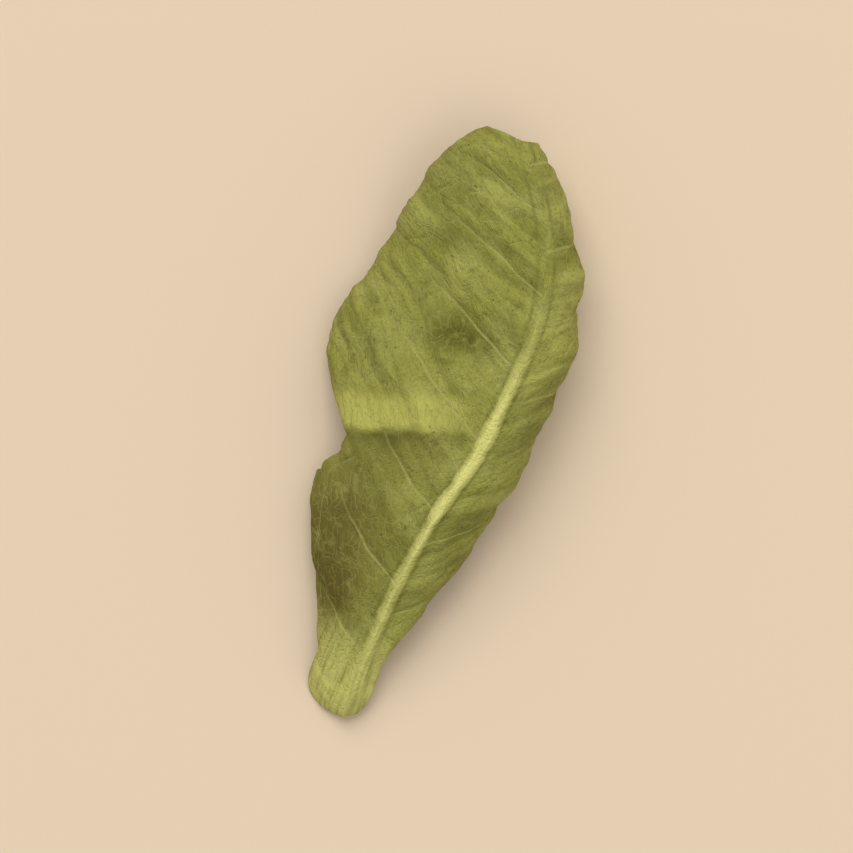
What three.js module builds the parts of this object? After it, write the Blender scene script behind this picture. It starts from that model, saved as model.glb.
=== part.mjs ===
// A dried moringa leaflet as it lies on a table, in millimetres.
// +Z is up and +Y runs from the stalk to the tip. The origin is under the middle of its box.
// The blade is one thin shell along a bowed and arched midrib. Its left half slopes down to the table
// and its right half is rolled under.
import * as THREE from "three";

const degrees = THREE.MathUtils.degToRad;

// Driving dimensions. Widths are measured along the blade from the midrib.
const LENGTH = 24.5;
const LEFT_WIDTH = 8.8;
const RIGHT_WIDTH = 7.2;
const THICKNESS = 0.6;

// Midrib: it bows to the right, kinks a little beside the pleat and arches over the table
const BOW = 2.9;
const BOW_TURN = 0.97 * Math.PI;
const KINK = 0.22;
const KINK_AT = 11.6;
const KINK_REACH = 1.9;
const STALK_HEIGHT = 0.43; // of the blade's middle surface, before the leaf is laid down
const ARCH = 4.0;
const ARCH_TURN = 0.8 * Math.PI;

// Outline: t is 0 at the stalk and 1 at the tip. Each half swells as (t - START)^swell and closes as
// (END - t)^CLOSE. Rows lean towards the tip as the side veins do, and still a little at the blunt tip,
// which leaves a nick in it. On the left they start square across the end of the stalk.
const START = 0.07;
const END = 1.03;
const LEFT_SWELL = 0.72;
const RIGHT_SWELL = 1.15;
const CLOSE = 0.84;
const LEAN = 0.5; // millimetres towards the tip for each millimetre out
const TIP_LEAN = 0.3;
const TIP_POWER = 6; // how late the lean changes to that of the tip
const STALK_LEFT = 2.0;
const STALK_RIGHT = 0.85;
const STALK_REACH = 0.3; // share of the length over which the stalk's own width dies out
const STALK_TIP = 0.045; // share of the length that rounds off the end of the stalk
const STALK_CUT = 0.4; // share of the width that is left at that end
const STALK_SQUARE = 0.14; // share of the length over which the left rows take up their lean

// Cross-section: each half turns down from the midrib by a slope and then curls at a radius
const RIDGE = 0.9; // distance over which the slope sets in
const LEFT_SLOPE = degrees(11.5);
const LEFT_RADIUS = 17;
const LOBE_AT = 8.2; // the lobe beside the stalk curls tighter
const LOBE_REACH = 3.6;
const LOBE_RADIUS = 8;
const RIGHT_SLOPE = degrees(5);
const RIGHT_RADIUS = 2.1;
const RIGHT_FLARE = 0.7; // by which the roll opens towards the stalk

// The pleat: a crease across the left half that leans back to the stalk, steep on the stalk's side, with
// a notch in the edge beside it
const PLEAT_AT_MIDRIB = 13.2;
const PLEAT_FALL = 0.23; // back towards the stalk, for each millimetre out
const PLEAT_START = 0.6; // distance from the midrib where it sets in
const PLEAT_FULL = 5.5;
const PLEAT_HEIGHT = 1.2;
const PLEAT_STEEP = 0.95;
const PLEAT_GENTLE = 2.2;
const NOTCH_AT = 0.297; // share of the length
const NOTCH_DEPTH = 0.25; // share of the width
const NOTCH_REACH = 0.058; // share of the length

// The left edge is flattened towards the tip
const FLAT_AT = 0.84; // share of the length
const FLAT_DEPTH = 0.12; // share of the width
const FLAT_REACH = 0.2; // share of the length

// A dimple between the pleat and the tip
const DIMPLE_AT = 16.4;
const DIMPLE_OUT = 3.6;
const DIMPLE_DEPTH = 0.4;
const DIMPLE_LONG = 1.5;
const DIMPLE_WIDE = 2.1;

// The blade bulges a little between its side veins, and its edge is waved
const VEIN_SPACING = 3.2;
const VEIN_BEND = 0.03;
const LEFT_PHASE = 0.15;
const RIGHT_PHASE = 0.6;
const QUILT = 0.11;
const QUILT_FULL = 2; // distance from the midrib where the bulges are full
const WAVE = 0.3;
const WAVE_FULL = 9.2; // distance from the midrib where it is reached
const WAVES = [
  { length: 6.8, phase: -0.2, share: 1 },
  { length: 2.7, phase: 2.4, share: 0.15 },
];

// Midrib thickness, above and below the blade, thinning towards the tip
const RIB_ABOVE = 0.18;
const RIB_BELOW = 0.45;
const RIB_WIDTH = 0.6;
const RIB_THINNING = 0.75;

// How the leaf lies: turned on to its three low points, then pressed flat where it touches
const LAY_PITCH = degrees(-0.09);
const LAY_ROLL = degrees(0.82);
const CENTRE = new THREE.Vector2(-0.13, 12.39);

// Grid of the shell, with its columns closer together at the midrib
const ROWS = 66;
const HALF_COLUMNS = 17;
const CROWDING = 1.2;
const STEP = 1e-3;

const bell = (x) => Math.exp(-x * x);

// How far the end of the stalk is rounded off at t, from 0 at its end to 1 where it is whole
function stalkRound(t) {
  return Math.sqrt(1 - (1 - Math.min(1, t / STALK_TIP)) ** 2);
}

// Width of one half, along the blade, at t. side is -1 on the left and 1 on the right.
function halfWidth(at, side) {
  const t = THREE.MathUtils.clamp(at, 0, 1);
  const swell = side < 0 ? LEFT_SWELL : RIGHT_SWELL;
  const widest = (swell * END + CLOSE * START) / (swell + CLOSE);
  const swollen = (Math.max(0, t - START) / (widest - START)) ** swell;
  const closed = ((END - t) / (END - widest)) ** CLOSE;
  const notch = NOTCH_DEPTH * bell((t - NOTCH_AT) / NOTCH_REACH);
  const flat = FLAT_DEPTH * bell((t - FLAT_AT) / FLAT_REACH);
  const width = (side < 0 ? LEFT_WIDTH * (1 - notch - flat) : RIGHT_WIDTH) * swollen * closed;
  const stalk = (side < 0 ? STALK_LEFT : STALK_RIGHT) * bell(t / STALK_REACH);
  return Math.hypot(width, stalk) * THREE.MathUtils.lerp(STALK_CUT, 1, stalkRound(t));
}

function midrib(y) {
  const t = y / LENGTH;
  const height = STALK_HEIGHT + ARCH * Math.sin(ARCH_TURN * t);
  const kink = KINK * bell((y - KINK_AT) / KINK_REACH);
  return new THREE.Vector3(BOW * Math.sin(BOW_TURN * t * t) + kink, y, height);
}

// How a half curls at y: the slope that it starts with, and its radius
function curl(y, side) {
  if (side > 0) return [RIGHT_SLOPE, RIGHT_RADIUS + RIGHT_FLARE * (1 - (2 * y) / LENGTH)];
  const lobe = bell((y - LOBE_AT) / LOBE_REACH);
  return [LEFT_SLOPE, 1 / THREE.MathUtils.lerp(1 / LEFT_RADIUS, 1 / LOBE_RADIUS, lobe)];
}

// Height of the pleat over the smooth blade. out is the distance from the midrib along the blade.
function pleat(y, out) {
  const past = y - PLEAT_AT_MIDRIB + PLEAT_FALL * out;
  const reach = past < 0 ? PLEAT_STEEP : PLEAT_GENTLE;
  return PLEAT_HEIGHT * THREE.MathUtils.smoothstep(out, PLEAT_START, PLEAT_FULL) * bell(past / reach);
}

function dimple(y, out) {
  const along = bell((y - DIMPLE_AT) / DIMPLE_LONG);
  const across = THREE.MathUtils.smoothstep(out, 0, DIMPLE_OUT) * bell((out - DIMPLE_OUT) / DIMPLE_WIDE);
  return DIMPLE_DEPTH * along * across;
}

// Bulge between side veins: these leave the midrib a spacing apart and bend towards the tip
function quilt(y, out, side) {
  const start = y - LEAN * out - VEIN_BEND * out * out;
  const phase = start / VEIN_SPACING + (side < 0 ? LEFT_PHASE : RIGHT_PHASE);
  return -QUILT * THREE.MathUtils.smoothstep(out, 0, QUILT_FULL) * Math.cos(2 * Math.PI * phase);
}

// Waves that grow towards the edge
function edgeWave(y, out) {
  const wave = (sum, w) => sum + w.share * Math.sin(2 * Math.PI * (y / w.length) + w.phase);
  return WAVE * WAVES.reduce(wave, 0) * (out / WAVE_FULL) ** 2;
}

// Lean of the row at t towards the tip, for each millimetre out
function rowLean(t, side) {
  const square = side < 0 ? THREE.MathUtils.smoothstep(t, 0, STALK_SQUARE) : 1;
  return square * THREE.MathUtils.lerp(LEAN, TIP_LEAN, t ** TIP_POWER);
}

// A point of the blade's middle surface. u is -1 at the left edge, 0 on the midrib and 1 at the right edge.
function blade(u, t) {
  const side = u < 0 ? -1 : 1;
  const out = Math.abs(u) * halfWidth(t, side);
  const y = LENGTH * t + rowLean(t, side) * out;
  const [slope, radius] = curl(y, side);
  const turn = slope * (1 - bell(out / RIDGE));
  const angle = out / radius;
  const sideways = radius * Math.sin(angle);
  const down = radius * (1 - Math.cos(angle));
  const lift = quilt(y, out, side) + edgeWave(y, out);

  const ahead = midrib(y + STEP).sub(midrib(y - STEP)).setX(0).normalize();
  const up = new THREE.Vector3(0, -ahead.z, ahead.y);
  const point = midrib(y);
  point.x += side * (sideways * Math.cos(turn) - down * Math.sin(turn) + lift * Math.sin(angle + turn));
  const rise = lift * Math.cos(angle + turn) - sideways * Math.sin(turn) - down * Math.cos(turn);
  const folds = side < 0 ? pleat(y, out) - dimple(y, out) : 0;
  return point.addScaledVector(up, rise + folds);
}

// The two faces of the shell at u and t: the blade moved out along its normal
function faces(u, t) {
  const across = blade(u + STEP, t).sub(blade(u - STEP, t));
  const along = blade(u, t + STEP).sub(blade(u, t - STEP));
  const normal = across.cross(along).normalize();
  const out = Math.abs(u) * halfWidth(t, Math.sign(u));
  const rib = bell(out / RIB_WIDTH) * (1 - RIB_THINNING * t) * stalkRound(t);
  const middle = blade(u, t);
  return {
    top: middle.clone().addScaledVector(normal, THICKNESS / 2 + RIB_ABOVE * rib),
    bottom: middle.addScaledVector(normal, -THICKNESS / 2 - RIB_BELOW * rib),
  };
}

// Turns a point to the lie of the leaf, and flattens what would be under the table
function laid(point) {
  point.applyEuler(new THREE.Euler(LAY_PITCH, LAY_ROLL, 0));
  return point.set(point.x - CENTRE.x, point.y - CENTRE.y, Math.max(0, point.z));
}

// One closed shell. Its two faces are split into triangles alike, and joined round the rim.
function leafGeometry() {
  const columns = 2 * HALF_COLUMNS;
  const top = [];
  const bottom = [];
  for (let i = 0; i <= ROWS; i++)
    for (let j = 0; j <= columns; j++) {
      const x = j / HALF_COLUMNS - 1;
      const at = faces(Math.sign(x) * Math.abs(x) ** CROWDING, i / ROWS);
      top.push(laid(at.top));
      bottom.push(laid(at.bottom));
    }
  const id = (i, j) => i * (columns + 1) + j;
  const under = top.length;
  const index = [];
  for (let i = 0; i < ROWS; i++)
    for (let j = 0; j < columns; j++) {
      const [a, b, c, d] = [id(i, j), id(i, j + 1), id(i + 1, j + 1), id(i + 1, j)];
      index.push(a, b, c, a, c, d);
      index.push(under + a, under + c, under + b, under + a, under + d, under + c);
    }
  const rim = [];
  for (let j = 0; j < columns; j++) rim.push(id(0, j));
  for (let i = 0; i < ROWS; i++) rim.push(id(i, columns));
  for (let j = columns; j > 0; j--) rim.push(id(ROWS, j));
  for (let i = ROWS; i > 0; i--) rim.push(id(i, 0));
  rim.forEach((p, k) => {
    const q = rim[(k + 1) % rim.length];
    index.push(q, p, under + p, q, under + p, under + q);
  });
  const geometry = new THREE.BufferGeometry().setFromPoints([...top, ...bottom]);
  geometry.setIndex(index);
  geometry.computeVertexNormals();
  return geometry;
}

const leaf = new THREE.Mesh(
  leafGeometry(),
  new THREE.MeshStandardMaterial({ color: 0x8d8c43, roughness: 0.8, metalness: 0 }),
);
leaf.name = "leaf";

const part = new THREE.Group();
part.add(leaf);

export default part;
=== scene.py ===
"""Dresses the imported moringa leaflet: a finer dried leaf with veins, crinkles and colours, in a plain studio.

The leaf is one piece. Its middle surface comes from the same driving dimensions as the solid that it
replaces, so it keeps that solid's form. Its two faces stand off that surface by half the blade's thickness
and by the relief of the veins. Lengths in the classes are millimetres, +Y runs from the stalk to the tip
and +Z is up. The left half is the spread one and the right half is rolled under. A pair of seats says
where in its noise each half starts, the left half first, so that the two halves differ.
"""

from __future__ import annotations

import logging
import math
from dataclasses import dataclass, field
from enum import Enum
from functools import cached_property, reduce

import bpy
import numpy as np
from mathutils import Euler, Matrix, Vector
from numpy.typing import NDArray

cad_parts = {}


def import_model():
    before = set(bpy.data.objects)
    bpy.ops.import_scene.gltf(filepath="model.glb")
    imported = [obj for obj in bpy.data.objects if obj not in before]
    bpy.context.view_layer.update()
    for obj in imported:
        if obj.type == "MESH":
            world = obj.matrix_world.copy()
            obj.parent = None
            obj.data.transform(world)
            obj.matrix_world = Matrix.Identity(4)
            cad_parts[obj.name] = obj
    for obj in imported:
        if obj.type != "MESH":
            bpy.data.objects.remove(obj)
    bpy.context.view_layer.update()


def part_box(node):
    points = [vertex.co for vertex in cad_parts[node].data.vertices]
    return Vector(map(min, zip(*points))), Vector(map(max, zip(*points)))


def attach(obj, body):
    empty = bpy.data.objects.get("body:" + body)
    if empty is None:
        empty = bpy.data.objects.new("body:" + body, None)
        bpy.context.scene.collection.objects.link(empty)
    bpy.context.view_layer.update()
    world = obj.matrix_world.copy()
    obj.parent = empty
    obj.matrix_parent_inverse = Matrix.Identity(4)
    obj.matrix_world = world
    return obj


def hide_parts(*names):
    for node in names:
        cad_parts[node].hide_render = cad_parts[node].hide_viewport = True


Array = NDArray[np.float64]
Integers = NDArray[np.int64]
Mask = NDArray[np.bool_]
Colour = tuple[float, float, float]
Seats = tuple[float, float]
Socket = bpy.types.NodeSocket
Spots = dict[str, bpy.types.NodeSocket]

MM = 0.001
TAU = 2 * math.pi
LOG = logging.getLogger("leaflet")


class Half(Enum):
    """The two halves of the blade, as seen from above with the tip ahead."""

    LEFT = "left"
    RIGHT = "right"

    def among(self, left: Mask) -> Mask:
        """Which points are on this half, where left says which are on the left one."""
        return left == (self is Half.LEFT)


class Face(Enum):
    """The parts of the leaf's shell. The value is the number that a triangle of the part carries."""

    UPPER = 0
    UNDER = 1
    RIM = 2


def bell(x: Array) -> Array:
    """e to the power of minus x squared: 1 at 0, falling off on both sides."""
    return np.exp(-x * x)


def rise(x: Array, low: float, high: float) -> Array:
    """Smooth step from 0 at low to 1 at high: 3 s^2 - 2 s^3, where s is the share of the way."""
    s = np.clip((x - low) / (high - low), 0, 1)
    return s * s * (3 - 2 * s)


def blended(a: Array | float, b: Array | float, share: Array | float) -> Array:
    """a where share is 0, b where it is 1, and in a straight line between."""
    return a + (b - a) * share


def unit(ways: Array) -> Array:
    """The directions, made one long."""
    return ways / np.linalg.norm(ways, axis=-1, keepdims=True)


@dataclass
class SmoothNoise:
    """Seeded noise on a plane: random values on a grid of unit squares, joined smoothly."""

    seed: int
    size: int = 64
    layer_shift: tuple[float, float] = (7.3, 3.1)
    table: Array = field(init=False)

    def __post_init__(self) -> None:
        """Draws the grid's values, between -1 and 1."""
        self.table = np.random.default_rng(self.seed).uniform(-1, 1, (self.size, self.size))

    def at(self, x: Array, y: Array) -> Array:
        """The noise at points, by weighting the four corners with 3 s^2 - 2 s^3 each way.

        Args:
            x: first coordinates, in grid squares.
            y: second coordinates, in grid squares.

        Returns:
            Values between -1 and 1.
        """
        column, row = np.floor(x).astype(int), np.floor(y).astype(int)
        across, up = rise(x - column, 0, 1), rise(y - row, 0, 1)

        def corner(i: int, j: int) -> Array:
            """The values at one corner of each point's square."""
            return self.table[(column + i) % self.size, (row + j) % self.size]

        low = blended(corner(0, 0), corner(1, 0), across)
        high = blended(corner(0, 1), corner(1, 1), across)
        return blended(low, high, up)

    def layers(self, x: Array, y: Array, count: int = 2) -> Array:
        """Layers of the noise, each twice as fine and half as strong as the last.

        Args:
            x: first coordinates, in the squares of the first layer.
            y: second coordinates, in the same squares.
            count: how many layers there are.

        Returns:
            The layers' sum, between -2 and 2.
        """
        total = np.zeros(np.broadcast(x, y).shape)
        for layer in range(count):
            scale = 2**layer
            aside, ahead = (shift * layer for shift in self.layer_shift)
            total += self.at(x * scale + aside, y * scale + ahead) / scale
        return total


@dataclass
class CellNet:
    """A net of cells: a seeded point in each unit square, and borders halfway between neighbours."""

    seed: int
    jitter: float = 0.8
    size: int = 64
    reach: int = 2
    same_point: float = 1e-6
    table: Array = field(init=False)

    def __post_init__(self) -> None:
        """Draws each square's point."""
        draws = np.random.default_rng(self.seed).uniform(-0.5, 0.5, (self.size, self.size, 2))
        self.table = 0.5 + self.jitter * draws

    def border(self, x: Array, y: Array) -> Array:
        """Distance to the nearest border, in squares.

        The nearest point is found first. The border towards each other point is the line halfway
        between them, so its distance is that of the halfway point along the joining direction.

        Args:
            x: first coordinates, in squares.
            y: second coordinates, in squares.

        Returns:
            The distances.
        """
        column, row = np.floor(x).astype(int), np.floor(y).astype(int)
        steps = range(-self.reach, self.reach + 1)
        offsets = []
        for i in steps:
            for j in steps:
                point = self.table[(column + i) % self.size, (row + j) % self.size]
                offsets.append((column + i + point[..., 0] - x, row + j + point[..., 1] - y))
        ways = np.array([np.stack(pair, -1) for pair in offsets])
        nearest = np.argmin((ways**2).sum(-1), axis=0)
        own = np.take_along_axis(ways, nearest[None, ..., None], axis=0)[0]
        apart = ways - own
        length = np.sqrt((apart**2).sum(-1))
        middle = 0.5 * (ways + own)
        distance = (middle * apart).sum(-1) / np.maximum(length, self.same_point)
        return np.where(length > self.same_point, distance, np.inf).min(0)


@dataclass
class Midrib:
    """The line that the blade hangs on. It bows to the right and arches over the table.

    With t the share of the length, x is bow * sin(bow_turn * t^2) and the height is
    stalk_height + arch * sin(arch_turn * t). Beside the crease it kinks a little to the right.
    """

    length: float = 24.5
    bow: float = 2.9
    bow_turn: float = 0.97 * math.pi
    stalk_height: float = 0.43
    arch: float = 4.0
    arch_turn: float = 0.8 * math.pi
    kink: float = 0.22
    kink_at: float = 11.6
    kink_reach: float = 1.9

    def line(self, y: Array) -> Array:
        """The midrib's points, by the formula above.

        Args:
            y: distances along the leaf.

        Returns:
            The points, stacked along a last axis of three.
        """
        t = y / self.length
        x = self.bow * np.sin(self.bow_turn * t * t) + self.kink * bell((y - self.kink_at) / self.kink_reach)
        return np.stack([x, y, self.stalk_height + self.arch * np.sin(self.arch_turn * t)], -1)

    def up(self, y: Array) -> Array:
        """Unit directions square to the midrib's climb: (0, -climb, 1), made one long.

        Args:
            y: distances along the leaf.

        Returns:
            The directions, stacked along a last axis of three.
        """
        climb = self.arch * self.arch_turn / self.length * np.cos(self.arch_turn * y / self.length)
        norm = np.hypot(1, climb)
        return np.stack([np.zeros_like(y), -climb / norm, 1 / norm], -1)


@dataclass
class Nick:
    """A small bite out of the edge.

    Attributes:
        half: the half of the blade that it is in.
        y: its middle, along the leaf.
        depth: how far it goes in.
        reach: how far along the edge it dies out.
    """

    half: Half
    y: float
    depth: float
    reach: float


@dataclass
class Outline:
    """Width of each half of the blade, along the blade, at a share t of the length.

    A half swells as (t - start)^swell and closes as (end - t)^close, both 1 where it is widest. The
    stalk's own width, a bell of t, is joined to it as the long side of a right triangle. The end of the
    stalk is rounded off as a quarter circle. The left half has a notch, and is flattened towards the
    tip. Rows of points lean towards the tip, but on the left they start square across the end of the stalk.
    """

    left_width: float = 8.95
    right_width: float = 7.2
    start: float = 0.07
    end: float = 1.03
    left_swell: float = 0.72
    right_swell: float = 1.15
    close: float = 0.84
    lean: float = 0.5
    tip_lean: float = 0.3
    tip_power: float = 6
    stalk_left: float = 2.0
    stalk_right: float = 0.85
    stalk_reach: float = 0.3
    stalk_tip: float = 0.045
    stalk_cut: float = 0.4
    stalk_square: float = 0.14
    notch_at: float = 0.297
    notch_depth: float = 0.23
    notch_reach: float = 0.052
    flat_at: float = 0.78
    flat_depth: float = 0.15
    flat_reach: float = 0.24
    ragged: float = 0.042
    ragged_pitch: float = 0.9
    ragged_layers: int = 3
    ragged_seats: Seats = (0.5, 20.5)
    nick_power: float = 1.5
    nicks: tuple[Nick, ...] = (
        Nick(Half.LEFT, 11.2, 0.5, 0.6),
        Nick(Half.LEFT, 8.9, 0.18, 0.12),
        Nick(Half.LEFT, 5.2, 0.14, 0.2),
        Nick(Half.LEFT, 3.6, 0.75, 1.2),
        Nick(Half.RIGHT, 18.6, 0.3, 0.16),
        Nick(Half.RIGHT, 11.2, 0.45, 0.2),
    )

    def stalk_round(self, t: Array) -> Array:
        """How whole the stalk is at t: 0 at its very end and 1 past the rounding."""
        return np.sqrt(1 - (1 - np.clip(t / self.stalk_tip, 0, 1)) ** 2)

    def half_width(self, t: Array, left: Mask) -> Array:
        """The smooth width of a half, by the formula above.

        Args:
            t: shares of the length.
            left: whether each point is on the left half.

        Returns:
            The widths.
        """
        swell = np.where(left, self.left_swell, self.right_swell)
        widest = (swell * self.end + self.close * self.start) / (swell + self.close)
        swollen = (np.maximum(0, t - self.start) / (widest - self.start)) ** swell
        closed = ((self.end - t) / (self.end - widest)) ** self.close
        notch = self.notch_depth * bell((t - self.notch_at) / self.notch_reach)
        flat = self.flat_depth * bell((t - self.flat_at) / self.flat_reach)
        whole = np.where(left, self.left_width * (1 - notch - flat), self.right_width)
        width = whole * swollen * closed
        stalk = np.where(left, self.stalk_left, self.stalk_right) * bell(t / self.stalk_reach)
        return np.hypot(width, stalk) * blended(self.stalk_cut, 1, self.stalk_round(t))

    def dried_width(self, t: Array, left: Mask, length: float, noise: SmoothNoise) -> Array:
        """The width with the dry edge's small unevenness and nicks taken off it.

        Args:
            t: shares of the length.
            left: whether each point is on the left half.
            length: the leaf's length.
            noise: the noise that makes the edge uneven.

        Returns:
            The widths.
        """
        smooth = self.half_width(t, left)
        y = length * t
        blade = rise(t, self.start, 2 * self.start)
        row = np.where(left, *self.ragged_seats)
        uneven = self.ragged * noise.layers(y / self.ragged_pitch, row, self.ragged_layers)
        # A row's outer end lies further along the leaf than its start, by the lean.
        edge_y = y + self.lean * smooth
        bites = np.zeros_like(smooth)
        for nick in self.nicks:
            here = nick.depth * np.exp(-((np.abs(edge_y - nick.y) / nick.reach) ** self.nick_power))
            bites += np.where(nick.half.among(left), here, 0)
        return smooth - blade * (self.ragged + uneven + bites)

    def along(self, t: Array, out: Array, left: Mask, length: float) -> Array:
        """Distance along the leaf of the point that lies out from the midrib in the row at t."""
        square = np.where(left, rise(t, 0, self.stalk_square), 1)
        return length * t + square * blended(self.lean, self.tip_lean, t**self.tip_power) * out


@dataclass(frozen=True)
class BladePoints:
    """A grid of points on the blade laid flat. Each array holds a value for each point.

    Attributes:
        length: the leaf's length.
        t: shares of the length at which the points' rows start.
        share: shares of the way from the midrib to the edge.
        left: whether each point is on the left half.
        width: widths of the halves in the points' rows.
        out: distances from the midrib along the blade.
        y: distances along the leaf.
    """

    length: float
    t: Array
    share: Array
    left: Mask
    width: Array
    out: Array
    y: Array

    @property
    def edge(self) -> Array:
        """Distance from the edge."""
        return self.width - self.out

    @property
    def aside(self) -> Array:
        """Distance to the right of the midrib along the blade: less than 0 on the left half."""
        return np.where(self.left, -self.out, self.out)

    def seated(self, seats: Seats) -> Array:
        """The seat of each point's half."""
        return np.where(self.left, *seats)


@dataclass
class CrossSection:
    """How each half turns down from the midrib by a slope and then curls at a radius."""

    ridge: float = 0.9
    left_slope: float = math.radians(11.5)
    left_radius: float = 17
    lobe_at: float = 8.2
    lobe_reach: float = 3.6
    lobe_radius: float = 8
    right_slope: float = math.radians(5)
    right_radius: float = 2.1
    right_flare: float = 0.7

    def radius(self, at: BladePoints) -> Array:
        """Radius of the curl: 1 over its bend, which is stronger at the lobe beside the stalk.

        Args:
            at: the blade's points.

        Returns:
            The radii.
        """
        lobe = bell((at.y - self.lobe_at) / self.lobe_reach)
        bend = blended(1 / self.left_radius, 1 / self.lobe_radius, lobe)
        roll = self.right_radius + self.right_flare * (1 - 2 * at.y / at.length)
        return np.where(at.left, 1 / bend, roll)

    def place(self, at: BladePoints, lift: Array) -> tuple[Array, Array]:
        """Where a point of the cross-section lies, from the midrib.

        The blade follows a circle of the curl's radius, turned down by the slope, and lift moves the
        point out along the circle's own radius.

        Args:
            at: the blade's points.
            lift: distances off the smooth blade.

        Returns:
            Distances to the right of the midrib, and above it.
        """
        slope = np.where(at.left, self.left_slope, self.right_slope)
        turn = slope * (1 - bell(at.out / self.ridge))
        radius = self.radius(at)
        angle = at.out / radius
        sideways, down = radius * np.sin(angle), radius * (1 - np.cos(angle))
        away = sideways * np.cos(turn) - down * np.sin(turn) + lift * np.sin(angle + turn)
        height = lift * np.cos(angle + turn) - sideways * np.sin(turn) - down * np.cos(turn)
        return np.where(at.left, -away, away), height


@dataclass
class Folds:
    """The pleat across the left half and the dimple between it and the tip."""

    pleat_at: float = 12.95
    pleat_fall: float = 0.23
    pleat_start: float = 0.6
    pleat_full: float = 5.5
    pleat_height: float = 1.2
    pleat_steep: float = 1.1
    pleat_gentle: float = 2.2
    pleat_lean: float = 0.18
    crest_share: float = 0.36
    crest_steep: float = 0.45
    crest_gentle: float = 0.75
    crest_wander: float = 0.14
    crest_pitch: float = 1.3
    crest_layers: int = 3
    crest_seat: float = 0.5
    # Where the crease's painted light and shade fade in from the midrib.
    light_shade_start: float = 0.3
    light_shade_full: float = 2.0
    dimple_at: float = 16.4
    dimple_out: float = 3.6
    dimple_depth: float = 0.4
    dimple_long: float = 1.5
    dimple_wide: float = 2.1
    noise: SmoothNoise = field(default_factory=lambda: SmoothNoise(52))

    def past_crest(self, at: BladePoints) -> Array:
        """Distance past the pleat's crest, towards the tip. The crest wanders a little.

        Args:
            at: the blade's points.

        Returns:
            The distances, less than 0 on the stalk's side.
        """
        row = np.full_like(at.out, self.crest_seat)
        drift = self.crest_wander * self.noise.layers(at.out / self.crest_pitch, row, self.crest_layers)
        return at.y - self.pleat_at + self.pleat_fall * at.out + drift

    def pleat(self, at: BladePoints) -> Array:
        """Share of the pleat's height: steep on the stalk's side, gentle on the tip's, with a crisp crest.

        The profile is a bell and, on top of it, e to the power of minus the distance, which is sharp. It
        is faded in from the midrib.

        Args:
            at: the blade's points.

        Returns:
            The shares, from 0 to 1.
        """
        past = self.past_crest(at)
        broad = bell(past / np.where(past < 0, self.pleat_steep, self.pleat_gentle))
        sharp = np.exp(-np.abs(past) / np.where(past < 0, self.crest_steep, self.crest_gentle))
        return blended(broad, sharp, self.crest_share) * rise(at.out, self.pleat_start, self.pleat_full)

    def light_and_shade(self, at: BladePoints) -> Array:
        """How strong the crease's painted light and shade are: 0 at the midrib and on the right half."""
        return np.where(at.left, rise(at.out, self.light_shade_start, self.light_shade_full), 0)

    def dimple(self, at: BladePoints) -> Array:
        """Depth of the dimple: a bell each way, faded in from the midrib."""
        across = rise(at.out, 0, self.dimple_out) * bell((at.out - self.dimple_out) / self.dimple_wide)
        return self.dimple_depth * bell((at.y - self.dimple_at) / self.dimple_long) * across


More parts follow.
